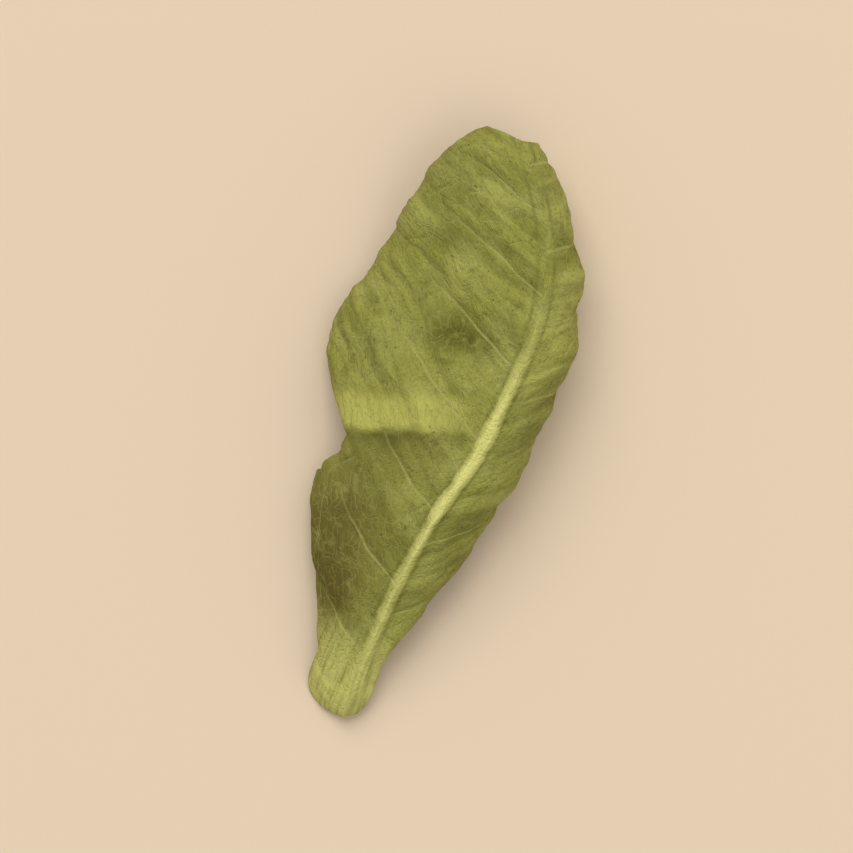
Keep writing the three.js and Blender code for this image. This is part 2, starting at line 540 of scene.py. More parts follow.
@dataclass
class Veins:
    """The side veins, the loops that join them near the edge, and the net of small veins between them."""

    spacing: float = 3.2
    lean: float = 0.5
    bend: float = 0.03
    left_phase: float = 0.15
    right_phase: float = 0.6
    quilt_depth: float = 0.125
    quilt_full: float = 2
    quilt_spread: float = 0.5
    quilt_pitch: float = 2.9
    quilt_seats: Seats = (4.0, 37.0)
    wander: float = 0.3
    wander_full: float = 2
    wander_pitch: float = 2.6
    wander_seats: Seats = (0.0, 31.0)
    width_at_midrib: float = 0.2
    width_at_edge: float = 0.1
    weakening: float = 0.45
    end_from: float = 0.8
    end_at: float = 0.95
    loop_at: float = 0.83
    loop_swing: float = 0.07
    loop_width: float = 0.11
    loop_strength: float = 0.6
    loop_least: float = 1.5
    loop_full: float = 3
    loop_hidden: float = 9
    net_cell: float = 1.15
    net_stretch: float = 1.15
    net_width: float = 0.1
    net_wander: float = 0.35
    net_wander_pitch: float = 1.1
    net_wander_seat: float = 9
    net_seats: Seats = (0.0, 23.0)
    net_seat: float = 5
    noise: SmoothNoise = field(default_factory=lambda: SmoothNoise(21))
    net: CellNet = field(default_factory=lambda: CellNet(5))

    def start(self, at: BladePoints) -> Array:
        """Where on the midrib a side vein through the point would leave it."""
        return at.y - self.lean * at.out - self.bend * at.out * at.out

    def phase(self, at: BladePoints) -> Array:
        """Count of side veins up to the point, without their wander: a whole number on a vein."""
        return self.start(at) / self.spacing + np.where(at.left, self.left_phase, self.right_phase)

    def wandered(self, at: BladePoints) -> Array:
        """The phase with each vein's own small wander added.

        Args:
            at: the blade's points.

        Returns:
            The phases.
        """
        seat = at.seated(self.wander_seats)
        drift = self.noise.layers(at.y / self.wander_pitch + seat, at.out / self.wander_pitch)
        return self.phase(at) + self.wander / self.spacing * drift * rise(at.out, 0, self.wander_full)

    def quilt(self, at: BladePoints) -> Array:
        """Bulge between the side veins: a cosine of the phase, faded in from the midrib and uneven.

        Args:
            at: the blade's points.

        Returns:
            Distances off the smooth blade.
        """
        seat = at.seated(self.quilt_seats)
        noise = self.noise.at(at.y / self.quilt_pitch + seat, at.out / self.quilt_pitch)
        depth = self.quilt_depth * (1 - self.quilt_spread * (0.5 + 0.5 * noise))
        return -depth * rise(at.out, 0, self.quilt_full) * np.cos(TAU * self.wandered(at))

    def apart(self, at: BladePoints) -> Array:
        """Distance between neighbouring side veins, square to them."""
        return self.spacing / np.hypot(1, self.lean + 2 * self.bend * at.out)

    def side_veins(self, at: BladePoints) -> Array:
        """Strength of the side veins: a bell of the distance to the nearest one.

        Args:
            at: the blade's points.

        Returns:
            1 on a vein at the midrib, less towards the edge, and 0 between veins.
        """
        phase = self.wandered(at)
        distance = np.abs(phase - np.round(phase)) * self.apart(at)
        reach = blended(self.width_at_midrib, self.width_at_edge, at.share)
        weaker = 1 - self.weakening * at.share
        return bell(distance / reach) * weaker * (1 - rise(at.share, self.end_from, self.end_at))

    def past_loop(self, at: BladePoints) -> Array:
        """Distance past the line of loops near the edge, which swings in and out from vein to vein."""
        line = self.loop_at + self.loop_swing * np.cos(TAU * self.wandered(at))
        return (at.share - line) * at.width

    def room(self, at: BladePoints) -> Array:
        """Whether the blade is wide enough for loops: 0 where it isn't and 1 where it is."""
        return rise(at.width, self.loop_least, self.loop_full)

    def loops(self, at: BladePoints) -> Array:
        """Strength of the loops: a bell of the distance to their line, where the blade is wide enough."""
        past = self.past_loop(at)
        return self.loop_strength * bell(past / self.loop_width) * self.room(at)

    def small_net(self, at: BladePoints) -> Array:
        """Distance to the net of small veins, whose cells lie along the side veins and are bent by noise.

        Args:
            at: the blade's points.

        Returns:
            The distances.
        """
        seat, pitch = at.seated(self.net_seats), self.net_wander_pitch
        row = at.out / pitch + self.net_wander_seat
        bent = self.net_wander * self.noise.layers(at.y / pitch + seat, row)
        along = (self.start(at) + bent) / self.net_cell + seat
        across = (self.net_stretch * at.out - bent) / self.net_cell + self.net_seat
        return self.net.border(along, across) * self.net_cell


@dataclass
class Crinkles:
    """The small unevenness of a dried blade, which both of its faces share.

    Each of the long waves has a pitch, a phase and a share.
    """

    wave: float = 0.3
    wave_full: float = 9.2
    waves: tuple[tuple[float, float, float], ...] = ((6.8, -0.2, 1), (2.7, 2.4, 0.15))
    shrivel: float = 0.095
    shrivel_across: float = 1.05
    shrivel_along: float = 3.8
    shrivel_layers: int = 3
    buckle: float = 0.075
    buckle_pitch: float = 2.3
    buckle_seat: float = 3
    crumple: float = 0.05
    crumple_pitch: float = 0.75
    crumple_stretch: float = 0.7
    crumple_level: float = 0.4
    crumple_seat: float = 11
    edge_crimp: float = 0.115
    edge_reach: float = 1.1
    edge_pitch: float = 1.1
    edge_stretch: float = 0.3
    lip: float = 0.1
    lip_reach: float = 0.45
    fade_start: float = 0.25
    fade_full: float = 1.6
    seats: Seats = (0.0, 29.0)
    noise: SmoothNoise = field(default_factory=lambda: SmoothNoise(33))

    def edge_wave(self, at: BladePoints) -> Array:
        """Long waves that grow as the square of the distance from the midrib."""
        total = sum(part * np.sin(TAU * at.y / pitch + phase) for pitch, phase, part in self.waves)
        return self.wave * total * (at.out / self.wave_full) ** 2

    def wrinkles(self, at: BladePoints, start: Array) -> Array:
        """Sharp-topped wrinkles that run along the side veins: a half less the size of stretched noise.

        Args:
            at: the blade's points.
            start: where a side vein through each point leaves the midrib.

        Returns:
            Their heights, from -0.5 to 0.5.
        """
        seat = at.seated(self.seats)
        across, along = start / self.shrivel_across + seat, at.out / self.shrivel_along
        ridged = np.abs(self.noise.layers(across, along, self.shrivel_layers))
        return 0.5 - np.minimum(ridged, 1)

    def lift(self, at: BladePoints, start: Array) -> Array:
        """How far drying moved the blade off its smooth form.

        It is the sum of the wrinkles, soft buckles, small sharp crumples, a crimp of the edge and a lip that
        turns down along it.

        Args:
            at: the blade's points.
            start: where a side vein through each point leaves the midrib.

        Returns:
            The distances.
        """
        seat, noise = at.seated(self.seats), self.noise
        soft = noise.layers(at.y / self.buckle_pitch + seat, at.out / self.buckle_pitch + self.buckle_seat)
        across = self.crumple_stretch * at.out / self.crumple_pitch + self.crumple_seat
        small = noise.layers(start / self.crumple_pitch + seat, across)
        uneven = self.buckle * soft + self.crumple * (self.crumple_level - np.abs(small))
        crimp = self.edge_crimp * noise.layers(at.y / self.edge_pitch + seat, self.edge_stretch * at.out)
        total = self.shrivel * self.wrinkles(at, start) + uneven
        total = total + crimp * bell(at.edge / self.edge_reach) - self.lip * bell(at.edge / self.lip_reach)
        return total * rise(at.out, self.fade_start, self.fade_full)


@dataclass
class Tissue:
    """Thickness of the blade, the midrib and the stalk, as distances from the middle surface."""

    blade: float = 0.13
    rim: float = 0.055
    rim_reach: float = 0.9
    rim_round: float = 0.35
    rib_above: float = 0.17
    rib_below: float = 0.32
    rib_width: float = 0.21
    rib_base_width: float = 0.14
    rib_base_reach: float = 0.3
    rib_thinning: float = 0.75
    rib_groove: float = 0.07
    groove_at: float = 0.5
    groove_width: float = 0.22
    stalk_fullness: float = 0.2
    stalk_reach: float = 0.13
    stalk_end: float = 0.35
    fibre: float = 0.0175
    fibre_pitch: float = 0.16
    fibre_swing: float = 3
    fibre_bend: float = 0.9
    fibre_edge: float = 0.4
    fibre_on_rib: float = 0.6
    vein_groove: float = 0.055
    vein_ridge: float = 0.085
    net_groove: float = 0.022
    net_ridge: float = 0.03
    pucker: float = 0.025
    pucker_reach: float = 0.3
    pucker_edge: float = 0.8
    relief_start: float = 0.15
    relief_full: float = 0.8
    deepest: float = 0.6

    def rib(self, at: BladePoints) -> Array:
        """Strength of the midrib, wider at the stalk, weaker at the tip: e to the power of minus out^3."""
        reach = self.rib_width + self.rib_base_width * bell(at.t / self.rib_base_reach)
        return np.exp(-((at.out / reach) ** 3)) * (1 - self.rib_thinning * at.t)

    def fibres(self, at: BladePoints) -> Array:
        """Height of the fibres: a cosine across them, whose lines sway as a sine and fade at the edge.

        Args:
            at: the blade's points.

        Returns:
            The heights, where the stalk is whole.
        """
        sway = self.fibre_swing * np.sin(self.fibre_bend * at.y)
        across = np.cos(TAU * at.out / self.fibre_pitch + sway)
        return self.fibre * (across * rise(at.edge, 0, self.fibre_edge))


@dataclass
class Patch:
    """A soft oval on the upper face where the colour changes.

    Attributes:
        half: the half of the blade that it is on.
        y: its middle, along the leaf.
        out: its middle, from the midrib.
        long: its reach along the leaf.
        wide: its reach from the midrib.
        strength: how strong it is at its middle.
    """

    half: Half
    y: float
    out: float
    long: float
    wide: float
    strength: float = 1.0

    def strength_at(self, at: BladePoints) -> Array:
        """Strength of the patch: a bell along the leaf times a bell across it."""
        here = self.strength * bell((at.y - self.y) / self.long) * bell((at.out - self.out) / self.wide)
        return np.where(self.half.among(at.left), here, 0)


@dataclass
class Patches:
    """Where the upper face is browned, darkened and paler."""

    brown: tuple[Patch, ...] = (
        Patch(Half.LEFT, 6.9, 4.2, 2.9, 3.0, 0.95),
        Patch(Half.LEFT, 4.4, 2.4, 1.8, 1.4, 0.8),
        Patch(Half.RIGHT, 6.6, 2.4, 2.4, 1.0, 0.4),
        Patch(Half.RIGHT, 14.4, 2.6, 1.8, 1.0, 0.3),
    )
    dark: tuple[Patch, ...] = (
        Patch(Half.LEFT, 16.3, 2.8, 0.8, 1.7),
        Patch(Half.LEFT, 20.2, 4.3, 0.6, 0.8, 0.6),
        Patch(Half.LEFT, 14.5, 5.6, 0.9, 1.4, 0.25),
        Patch(Half.RIGHT, 21.3, 0.7, 0.7, 0.5, 0.6),
        Patch(Half.RIGHT, 13.6, 1.5, 0.9, 0.6, 0.5),
        Patch(Half.RIGHT, 8.4, 1.4, 1.1, 0.6, 0.3),
    )
    pale: tuple[Patch, ...] = (
        Patch(Half.LEFT, 17.8, 3.9, 1.0, 0.5, 0.6),
        Patch(Half.RIGHT, 15.6, 0.8, 1.6, 0.7, 0.6),
        Patch(Half.LEFT, 1.6, 1.2, 1.4, 0.8, 0.5),
        Patch(Half.LEFT, 10.9, 3.0, 0.7, 1.6, 0.4),
    )

    def fields(self, at: BladePoints) -> dict[str, Array]:
        """Strength of each kind of patch: the sum over its patches, at most 1.

        Args:
            at: the blade's points.

        Returns:
            The strengths, by the kind's name.
        """
        kinds = {"brown": self.brown, "dark": self.dark, "pale": self.pale}
        return {
            name: np.minimum(1, sum(patch.strength_at(at) for patch in patches))
            for name, patches in kinds.items()
        }


def linear(colour: Colour) -> tuple[float, float, float, float]:
    """Blender's form of a colour, by the sRGB curve: linear red, green, blue and full alpha.

    Args:
        colour: red, green and blue in steps of 255.

    Returns:
        The four shares.
    """
    share = np.array(colour) / 255
    value = np.where(share <= 0.04045, share / 12.92, ((share + 0.055) / 1.055) ** 2.4)
    return (*map(float, value), 1.0)


@dataclass(frozen=True)
class Span:
    """A smooth step of a value in a material: 0 at low, and full at high and past it."""

    low: float
    high: float
    full: float = 1.0

    def wider(self, times: float) -> Span:
        """The same step with its low and high this many times as far out."""
        return Span(times * self.low, times * self.high, self.full)


@dataclass(frozen=True)
class Pattern:
    """A noise pattern in a material.

    Attributes:
        scale: how fine it is, in swells to each unit of the place that it follows.
        detail: how many finer layers it has.
        rough: how strong each finer layer is.
        span: the step that turns the noise into a strength.
    """

    scale: float
    detail: float
    rough: float
    span: Span = Span(0, 1)


@dataclass
class Graph:
    """A material's node tree, with short calls that add nodes and join them.

    Each value in a call is an output to join, or a plain number or colour.
    """

    tree: bpy.types.NodeTree

    def add(self, kind: str, inputs: dict[str | int, object], **settings: object) -> bpy.types.Node:
        """Adds a node.

        Args:
            kind: the node's type, without its leading ShaderNode.
            inputs: the values for its inputs, by name or place.
            settings: properties of the node.

        Returns:
            The node.
        """
        node = self.tree.nodes.new("ShaderNode" + kind)
        for name, value in settings.items():
            setattr(node, name, value)
        for name, value in inputs.items():
            if isinstance(value, bpy.types.NodeSocket):
                self.tree.links.new(value, node.inputs[name])
            else:
                node.inputs[name].default_value = value
        return node

    def attributes(self, names: list[str], output: str) -> Spots:
        """Reads attributes of the mesh, each by the output that suits it."""
        return {name: self.add("Attribute", {}, attribute_name=name).outputs[output] for name in names}

    def noise(self, place: Socket, pattern: Pattern) -> Socket:
        """The noise of a pattern, from 0 to 1."""
        sizes = {"Scale": pattern.scale, "Detail": pattern.detail, "Roughness": pattern.rough}
        return self.add("TexNoise", {"Vector": place} | sizes).outputs["Fac"]

    def step(self, value: Socket, span: Span) -> Socket:
        """The smooth step of a value."""
        ends = {"From Min": span.low, "From Max": span.high, "To Min": 0, "To Max": span.full}
        return self.add("MapRange", {"Value": value} | ends, interpolation_type="SMOOTHSTEP").outputs[0]

    def pattern(self, place: Socket, pattern: Pattern) -> Socket:
        """The strength of a pattern: the step of its noise."""
        return self.step(self.noise(place, pattern), pattern.span)

    def math(self, operation: str, *values: Socket | float) -> Socket:
        """One sum of one or two values."""
        return self.add("Math", dict(enumerate(values)), operation=operation).outputs[0]

    def times(self, *values: Socket | float) -> Socket:
        """The product of values."""
        return reduce(lambda a, b: self.math("MULTIPLY", a, b), values)

    def plus(self, a: Socket | float, b: Socket | float) -> Socket:
        """a and b together."""
        return self.math("ADD", a, b)

    def less(self, a: Socket | float, b: Socket | float) -> Socket:
        """a less b."""
        return self.math("SUBTRACT", a, b)

    def larger(self, a: Socket, b: Socket) -> Socket:
        """The larger of a and b."""
        return self.math("MAXIMUM", a, b)

    def apart(self, a: Socket, b: Socket | float) -> Socket:
        """How far a is from b."""
        return self.math("ABSOLUTE", self.less(a, b))

    def mix(self, share: Socket, a: Socket | Colour, b: Socket | Colour) -> Socket:
        """Colour a where share is 0 and b where it is 1. A plain colour is in steps of 255."""
        colours = [linear(colour) if isinstance(colour, tuple) else colour for colour in (a, b)]
        return self.add("Mix", {0: share, 6: colours[0], 7: colours[1]}, data_type="RGBA").outputs[2]

    def layered(self, colour: Socket, layers: list[tuple[Socket, Colour]]) -> Socket:
        """The colour with others laid over it in turn, each by its strength."""
        return reduce(lambda under, layer: self.mix(layer[0], under, layer[1]), layers, colour)


@dataclass(frozen=True)
class VeinLook:
    """The crisp lines along the side veins, their loops and the net. A core is the full part of a line."""

    width: float = 0.07
    core: float = 0.25
    fade: Span = Span(0.95, 0.3)
    loop_width: float = 0.05
    loop_core: float = 0.2
    loop_strength: float = 0.5
    net_width: float = 0.045
    net_core: float = 0.2
    fine_scale: float = 2.3
    fine_line: Span = Span(0.09, 0.01, 0.6)

    def lines(self, graph: Graph, spots: Spots) -> Socket:
        """The lines of the side veins and loops, which fade towards the edge.

        The distance to a side vein is that of the phase from its nearest whole number, times the space
        between two veins.

        Args:
            graph: the material's nodes.
            spots: the outputs that it reads.

        Returns:
            Their strength.
        """
        off = graph.apart(spots["phase"], graph.math("ROUND", spots["phase"]))
        distance = graph.times(off, spots["apart"])
        side = graph.step(distance, Span(1, self.core).wider(self.width))
        side = graph.times(side, graph.step(spots["share"], self.fade))
        loop_span = Span(1, self.loop_core, self.loop_strength).wider(self.loop_width)
        return graph.larger(side, graph.step(graph.math("ABSOLUTE", spots["past_loop"]), loop_span))

    def net(self, graph: Graph, spots: Spots) -> Socket:
        """The lines of the net, with a finer and fainter net inside its cells.

        Args:
            graph: the material's nodes.
            spots: the outputs that it reads.

        Returns:
            Their strength.
        """
        inputs = {"Vector": spots["warped"], "Scale": self.fine_scale}
        cells = graph.add("TexVoronoi", inputs, feature="DISTANCE_TO_EDGE")
        fine = graph.step(cells.outputs["Distance"], self.fine_line)
        return graph.larger(graph.step(spots["net"], Span(1, self.net_core).wider(self.net_width)), fine)


@dataclass(frozen=True)
class RibLook:
    """The midrib's pale line with a painted highlight on its crest, painted shade in the groove beside it and
    the pale fibres of the stalk.

    The spans across the midrib are in line widths, and those along it are shares of its length. The swell
    and the full middle are millimetres that the line's width gains.
    """

    width: float = 0.22
    flank: Span = Span(1.3, 0.55, 0.62)
    crest: Span = Span(0.75, 0.2)
    swelling: Pattern = Pattern(0.9, 5, 0.65)
    swell: float = 0.45
    middle_starts: Span = Span(0.33, 0.46, 0.09)
    middle_ends: Span = Span(0.62, 0.52)
    ends: Span = Span(0.8, 0.5)
    strengthens: Span = Span(0.2, 0.4, 0.38)
    fibres: Pattern = Pattern(1.0, 3, 0.6, Span(0.25, 0.6))
    fibre_share: float = 0.3
    stalk: Span = Span(0.19, 0.06, 0.58)
    # Painted shade in the groove beside the midrib: where it lies, how it fades and its gaps.
    groove_at: float = 1.5
    groove: Span = Span(0.6, 0, 0.4)
    groove_shade_gaps: Pattern = Pattern(0.7, 3, 0.6, Span(0.3, 0.6))

    def line(self, graph: Graph, spots: Spots) -> Socket:
        """The midrib's own pale line, which fades at half of the leaf, and the pale stalk.

        The line is a thin bright crest on a softer flank: the rib's own pale colour, with the crest's extra
        brightness a painted highlight. Its width and strength vary along it, widest in the middle, and fibres
        run through it.

        Args:
            graph: the material's nodes.
            spots: the outputs that it reads.

        Returns:
            Their strength.
        """
        out, along = spots["out"], spots["along"]
        swell = graph.times(graph.less(graph.noise(spots["flat"], self.swelling), 0.5), self.swell)
        middle = graph.times(graph.step(along, self.middle_starts), graph.step(along, self.middle_ends))
        ragged = graph.less(graph.plus(out, swell), middle)
        flank = graph.step(ragged, self.flank.wider(self.width))
        # The crest's extra brightness over the flank is a painted highlight along the top of the rib.
        crest = graph.step(ragged, self.crest.wider(self.width))
        full = graph.plus(graph.step(along, self.strengthens), 1 - self.strengthens.full)
        fibres = graph.pattern(spots["fibre"], self.fibres)
        threads = graph.plus(graph.times(fibres, self.fibre_share), 1 - self.fibre_share)
        line = graph.times(graph.larger(flank, crest), graph.step(along, self.ends), full, threads)
        return graph.larger(line, graph.times(graph.step(along, self.stalk), fibres))

    def groove_shade(self, graph: Graph, spots: Spots) -> Socket:
        """Painted shade in the groove beside the midrib, broken by gaps.

        Args:
            graph: the material's nodes.
            spots: the outputs that it reads.

        Returns:
            Its strength.
        """
        beside = graph.apart(spots["out"], self.groove_at * self.width)
        gaps = graph.pattern(spots["flat"], self.groove_shade_gaps)
        return graph.times(graph.step(beside, self.groove.wider(self.width)), gaps)


@dataclass(frozen=True)
class CreaseLook:
    """The crease's pale band on the tip's side of its crest, which is the stretched tissue's paler colour and
    partly painted light on the side that faces the light, and painted shade, in brown, in the fold below it.

    The spans are distances past the crest, but for inner, which is a share of the way to the edge.
    """

    band_starts: Span = Span(-0.4, -0.1)
    band_ends: Span = Span(1.6, 0.8)
    fold_shade_starts: Span = Span(-0.2, -0.45, 0.6)
    fold_shade_ends: Span = Span(-3.2, -0.8)
    inner: Span = Span(0.85, 0.45, 0.6)
    streaks: Pattern = Pattern(2.6, 5, 0.7, Span(0.35, 0.65, 0.4))
    least: float = 0.55

    def band(self, graph: Graph, spots: Spots) -> Socket:
        """The pale band, uneven along its streaks: the tissue's paler colour, partly painted light.

        Args:
            graph: the material's nodes.
            spots: the outputs that it reads.

        Returns:
            Its strength.
        """
        past = spots["past_crest"]
        uneven = graph.plus(graph.pattern(spots["grain"], self.streaks), self.least)
        sides = graph.times(graph.step(past, self.band_starts), graph.step(past, self.band_ends))
        return graph.times(sides, spots["crest"], uneven)

    def fold(self, graph: Graph, spots: Spots) -> Socket:
        """Painted shade in the fold below the crest, in brown, weaker towards the edge.

        Args:
            graph: the material's nodes.
            spots: the outputs that it reads.

        Returns:
            Its strength.
        """
        past, inner = spots["past_crest"], graph.step(spots["share"], self.inner)
        sides = graph.times(graph.step(past, self.fold_shade_starts), graph.step(past, self.fold_shade_ends))
        return graph.times(sides, spots["crest"], inner)


@dataclass(frozen=True)
class LeafFinish:
    """The look of dried moringa: mottled olive, browned in places, with pale veins and a paler underside, and
    painted light and shade at the crease, between the wrinkles and beside the midrib.
    """

    olive: Colour = (167, 166, 77)
    light_olive: Colour = (181, 180, 93)
    # Also the colour of the painted shade between the wrinkles and in the groove beside the midrib.
    deep_olive: Colour = (99, 97, 28)
    # Also the colour of the painted shade in the crease's fold.
    brown: Colour = (112, 100, 41)
    # Also the colour of the crease's band, which is partly painted light.
    band: Colour = (202, 200, 100)
    vein: Colour = (190, 187, 106)
    # The midrib's pale colour, at its brightest on the crest, where it is a painted highlight.
    rib: Colour = (244, 240, 142)
    dry_edge: Colour = (162, 144, 80)
    fleck: Colour = (76, 70, 28)
    under: Colour = (146, 149, 90)
    under_light: Colour = (170, 172, 114)
    under_rib: Colour = (194, 191, 132)
    glow: Colour = (168, 166, 60)
    glow_share: float = 0.12
    veins: VeinLook = VeinLook()
    midrib: RibLook = RibLook()
    crease: CreaseLook = CreaseLook()
    clouds: Pattern = Pattern(0.42, 4, 0.55, Span(0.42, 0.62))
    streaks: Pattern = Pattern(1.3, 5, 0.65, Span(0.48, 0.72, 0.45))
    mottles: Pattern = Pattern(1.5, 5, 0.65, Span(0.52, 0.7, 0.45))
    speckles: Pattern = Pattern(8, 4, 0.7, Span(0.45, 0.7, 0.4))
    patchiness: Pattern = Pattern(0.9, 4, 0.65, Span(0.15, 0.5))
    flecks: Pattern = Pattern(5.5, 2, 0.6, Span(0.64, 0.72, 0.6))
    # Painted shade: how much darker the hollows between the wrinkles are.
    valley_shade: Span = Span(0.25, -0.25, 0.3)
    net_share: float = 0.32
    vein_share: float = 0.6
    under_clouds: Pattern = Pattern(0.6, 4, 0.6, Span(0.35, 0.7))
    under_brown_share: float = 0.35
    under_net_share: float = 0.4
    under_vein_share: float = 0.8
    edge: Span = Span(0.32, 0)
    wear: Pattern = Pattern(1.3, 3, 0.6, Span(0.3, 0.7, 0.75))
    roughness: float = 0.56
    roughness_spread: float = 0.3
    roughness_pattern: Pattern = Pattern(3.5, 3, 0.5)
    specular: float = 0.18
    grain: Pattern = Pattern(14, 4, 0.7)
    grain_height: float = 0.7
    creases: Pattern = Pattern(3.2, 3, 0.6)
    crease_height: float = -2.5
    net_height: float = -0.5
    bump: float = 0.07
    bump_strength: float = 0.9

    def upper(self, graph: Graph, spots: Spots) -> Socket:
        """The upper face: mottles first, then patches, painted shade between the wrinkles, the crease's painted
        light and shade, the small net, veins, painted shade beside the midrib, and the midrib with a painted
        highlight on its crest.

        Args:
            graph: the material's nodes.
            spots: the outputs that it reads.

        Returns:
            Its colour.
        """
        flat = spots["flat"]
        olive = graph.mix(graph.pattern(flat, self.clouds), self.olive, self.light_olive)
        uneven = graph.pattern(flat, self.patchiness)
        layers = [
            (graph.pattern(spots["grain"], self.streaks), self.deep_olive),
            (graph.pattern(flat, self.mottles), self.deep_olive),
            (graph.pattern(flat, self.speckles), self.deep_olive),
            (graph.times(spots["pale"], uneven), self.band),
            (graph.times(spots["brown"], uneven), self.brown),
            (graph.times(spots["dark"], uneven), self.deep_olive),
            # Painted shade in the hollows between the wrinkles.
            (graph.step(spots["relief"], self.valley_shade), self.deep_olive),
            # The crease's band: the stretched tissue's paler colour, partly painted light.
            (self.crease.band(graph, spots), self.band),
            # Painted shade in the crease's fold, in brown.
            (self.crease.fold(graph, spots), self.brown),
            (graph.times(spots["net_line"], self.net_share), self.vein),
            (graph.pattern(flat, self.flecks), self.fleck),
            (graph.times(spots["vein"], self.vein_share), self.vein),
            # Painted shade in the groove beside the midrib.
            (self.midrib.groove_shade(graph, spots), self.deep_olive),
            # The midrib, with a painted highlight along its crest.
            (spots["rib"], self.rib),
        ]
        return graph.layered(olive, layers)

    def lower(self, graph: Graph, spots: Spots) -> Socket:
        """The underside: paler and greyer, with its veins standing out.

        Args:
            graph: the material's nodes.
            spots: the outputs that it reads.

        Returns:
            Its colour.
        """
        pale = graph.mix(graph.pattern(spots["flat"], self.under_clouds), self.under, self.under_light)
        layers = [
            (graph.times(spots["brown"], self.under_brown_share), self.brown),
            (graph.times(spots["net_line"], self.under_net_share), self.under_rib),
            (graph.times(spots["vein"], self.under_vein_share), self.under_rib),
            (spots["rib"], self.under_rib),
        ]
        return graph.layered(pale, layers)

    def relief(self, graph: Graph, spots: Spots) -> Socket:
        """The bump: grain, fine creases where a noise is at its middle, and the net's lines sunk in.

        Args:
            graph: the material's nodes.
            spots: the outputs that it reads.

        Returns:
            The surface's normal.
        """
        grain = graph.times(graph.noise(spots["flat"], self.grain), self.grain_height)
        middles = graph.apart(graph.noise(spots["warped"], self.creases), 0.5)
        creases = graph.times(middles, self.crease_height)
        net = graph.times(spots["net_line"], self.net_height)
        height = graph.plus(graph.plus(grain, creases), net)
        inputs = {"Strength": self.bump_strength, "Distance": self.bump * MM, "Height": height}
        return graph.add("Bump", inputs).outputs[0]

    def material(self, numbers: list[str], places: list[str]) -> bpy.types.Material:
        """Builds the material. It reads only attributes of the leaf's mesh.

        Args:
            numbers: names of the attributes that are numbers.
            places: names of the attributes that are places.

        Returns:
            The material.
        """
        made = bpy.data.materials.new("dried_leaf")
        made.use_nodes = True
        made.node_tree.nodes.clear()
        graph = Graph(made.node_tree)
        spots = graph.attributes(numbers, "Fac") | graph.attributes(places, "Vector")
        spots["vein"] = self.veins.lines(graph, spots)
        spots["rib"] = self.midrib.line(graph, spots)
        spots["net_line"] = self.veins.net(graph, spots)
        colour = graph.mix(spots["under"], self.upper(graph, spots), self.lower(graph, spots))
        edge = graph.times(graph.step(spots["margin"], self.edge), graph.pattern(spots["flat"], self.wear))
        colour = graph.mix(edge, colour, self.dry_edge)
        uneven = graph.times(graph.noise(spots["flat"], self.roughness_pattern), self.roughness_spread)
        bump = self.relief(graph, spots)
        inputs = {"Base Color": colour, "Specular IOR Level": self.specular, "Normal": bump}
        inputs["Roughness"] = graph.plus(uneven, self.roughness)
        surface = graph.add("BsdfPrincipled", inputs).outputs[0]
        through = graph.add("BsdfTranslucent", {"Color": linear(self.glow), "Normal": bump}).outputs[0]
        both = graph.add("MixShader", {0: self.glow_share, 1: surface, 2: through}).outputs[0]
        graph.add("OutputMaterial", {"Surface": both})
        return made


@dataclass(frozen=True)
class FloorFinish:
    """The plain pale surface that the leaf lies on."""

    colour: Colour = (230, 209, 180)
    roughness: float = 0.85
    specular: float = 0.1

    def material(self) -> bpy.types.Material:
        """Builds the material.

        Returns:
            The material.
        """
        made = bpy.data.materials.new("plain_floor")
        made.use_nodes = True
        shader = made.node_tree.nodes["Principled BSDF"]
        shader.inputs["Base Color"].default_value = linear(self.colour)
        shader.inputs["Roughness"].default_value = self.roughness
        shader.inputs["Specular IOR Level"].default_value = self.specular
        return made


@dataclass(frozen=True)
class BakeLayout:
    """Where the parts of the leaf lie on the flat picture of its colours, in shares of the picture."""

    margin: float = 0.01
    face_width: float = 0.47
    under_shift: float = 0.51
    strip_upper: float = 0.492
    strip_middle: float = 0.5
    strip_under: float = 0.508

    def up(self, share: Array) -> Array:
        """The height on the picture of a share of the way up it, within its margins."""
        return self.margin + (1 - 2 * self.margin) * share


